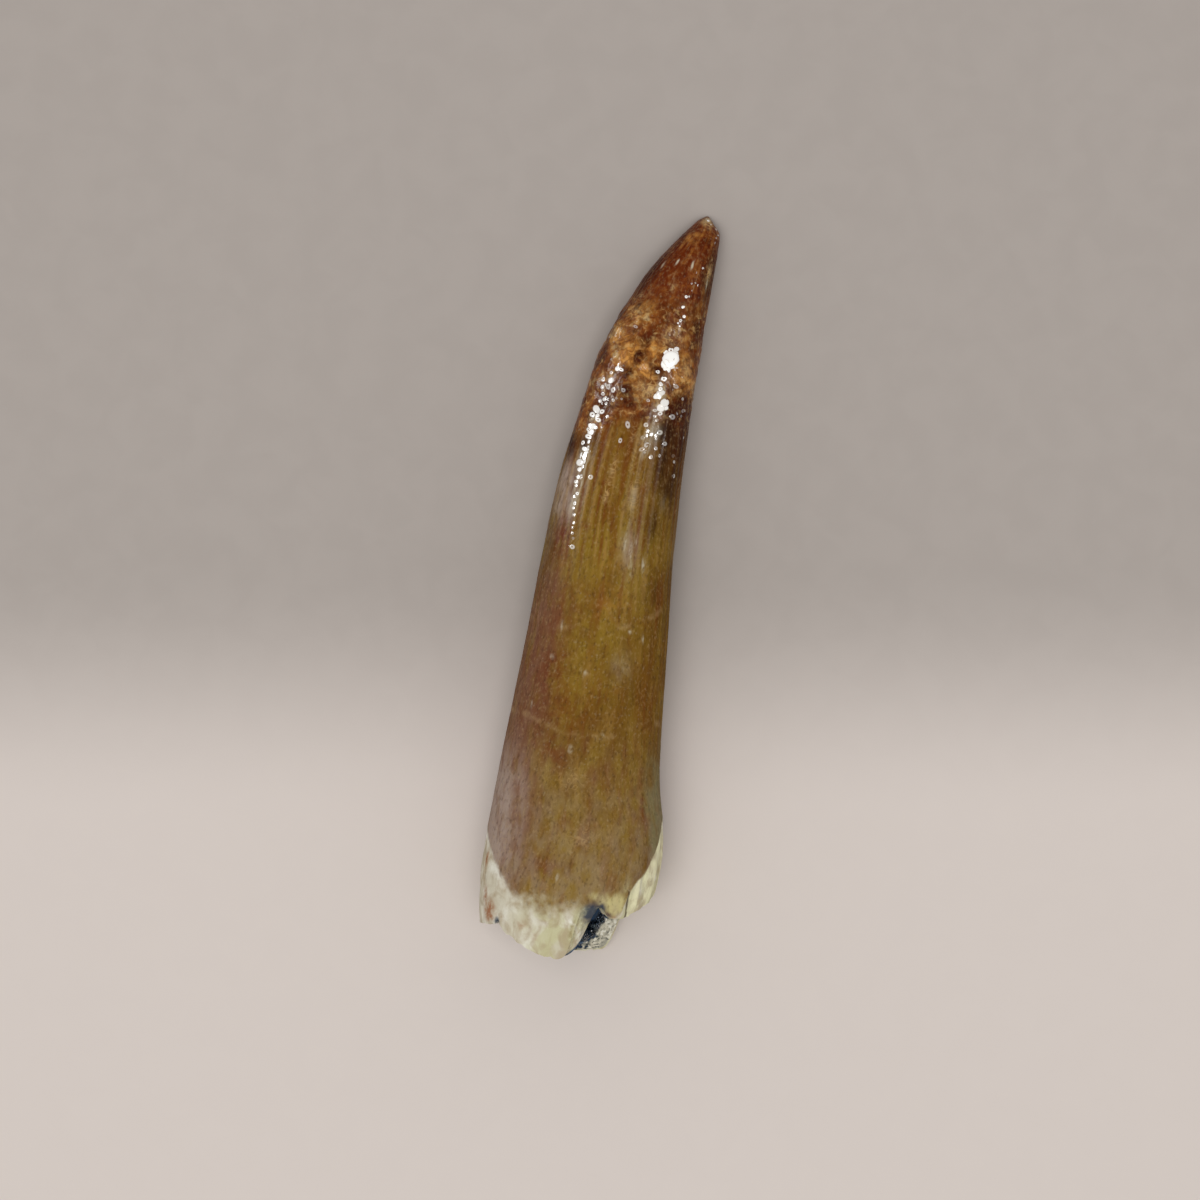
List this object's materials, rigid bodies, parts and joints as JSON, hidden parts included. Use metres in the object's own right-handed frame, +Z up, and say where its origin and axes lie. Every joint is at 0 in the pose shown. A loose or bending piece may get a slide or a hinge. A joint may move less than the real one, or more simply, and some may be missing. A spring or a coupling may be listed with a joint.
{
  "type": "fossil plesiosaur tooth",
  "caption": "Curved conical fossil reptile tooth lying on its side, with fine lengthwise enamel ridges, a pointed tip, a broken hollow root and small clear crystals in its pulp cavity.",
  "frame": {"origin": "under the middle of the tooth's outline, on the surface that it lies on", "axes": "+Y along the tooth from its broken root to its tip, +X towards the hollow side of its bow, +Z up"},
  "size_m": [0.01, 0.0422, 0.0084],
  "materials": {
    "fossil_enamel": "brown to olive fossil enamel under a thin glossy varnish, satin low on the crown, with bare cream dentine at the broken root",
    "clear_crystal": "clear to milky mineral grains with bright facets"
  },
  "bodies": {
    "root": {"tooth": "fossil_enamel", "pulp_crystals": "clear_crystal"}
  },
  "joints": []
}
